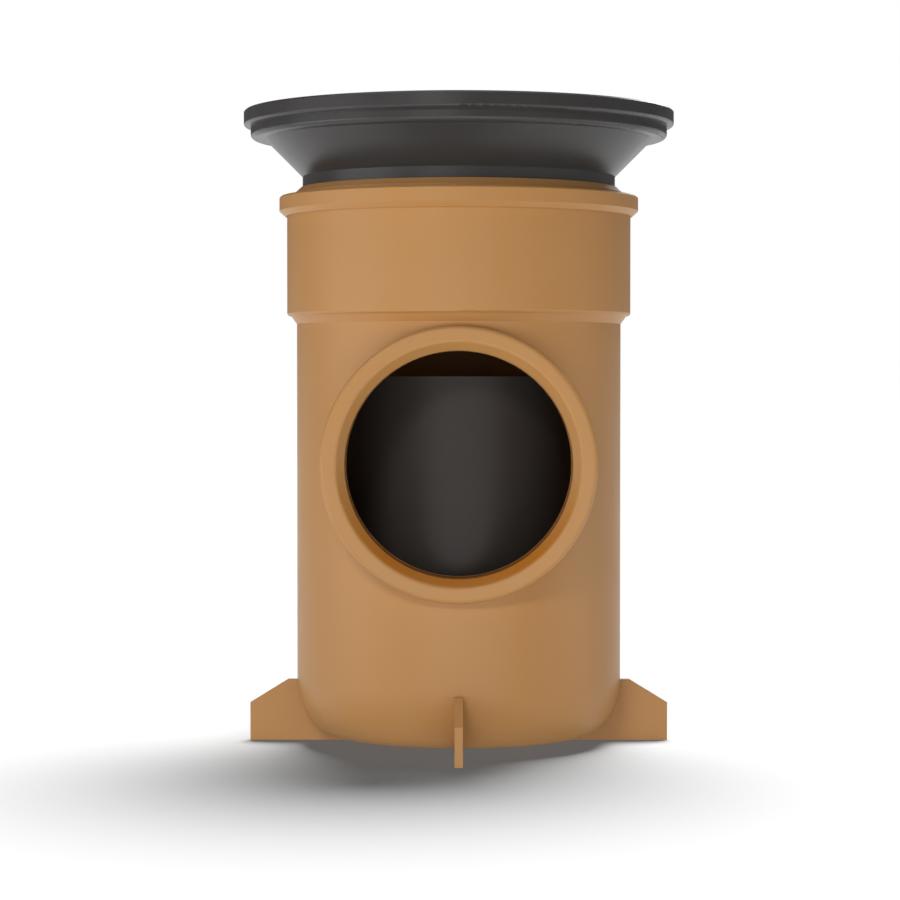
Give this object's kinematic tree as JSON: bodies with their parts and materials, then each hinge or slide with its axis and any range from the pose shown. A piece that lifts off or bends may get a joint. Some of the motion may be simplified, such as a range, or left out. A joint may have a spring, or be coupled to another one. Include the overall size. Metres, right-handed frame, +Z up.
{
  "type": "bottle gully",
  "caption": "Back inlet bottle gully: terracotta trap body on fins with a pipe socket in front and a pipe spigot behind, a lift-out trap hood and a swivelling black hopper with a grate.",
  "frame": {"origin": "on the ground under the bottle's axis, on the cross of ribs that the gully stands on", "axes": "+Z up along the bottle's axis, +Y out of the outlet spigot, -Y out of the inlet socket"},
  "size_m": [0.22, 0.26, 0.3225],
  "materials": {
    "terracotta": "satin",
    "black_plastic": "satin",
    "hood_plastic": "gloss",
    "seal_rubber": "matte"
  },
  "bodies": {
    "bottle": {"gully_base": "terracotta", "base_fins": "terracotta", "gully_barrel": "terracotta", "gully_collar": "terracotta", "inlet_fitting": "terracotta", "outlet_fitting": "terracotta", "top_seal_cap": "terracotta", "top_ring_seal": "seal_rubber", "inlet_ring_seal": "seal_rubber"},
    "hopper_top": {"hopper": "black_plastic", "hopper_grate": "black_plastic"},
    "hood": {"trap_hood": "hood_plastic"}
  },
  "joints": [
    {"name": "hopper_swivel", "type": "hinge", "parent": "bottle", "child": "hopper_top", "pos_m": [0, 0, 0.25], "axis": [0, 0, 1], "continuous": true},
    {"name": "hood_lift", "type": "slide", "parent": "bottle", "child": "hood", "axis": [0, 0, 1], "range_m": [0, 0.12]}
  ]
}
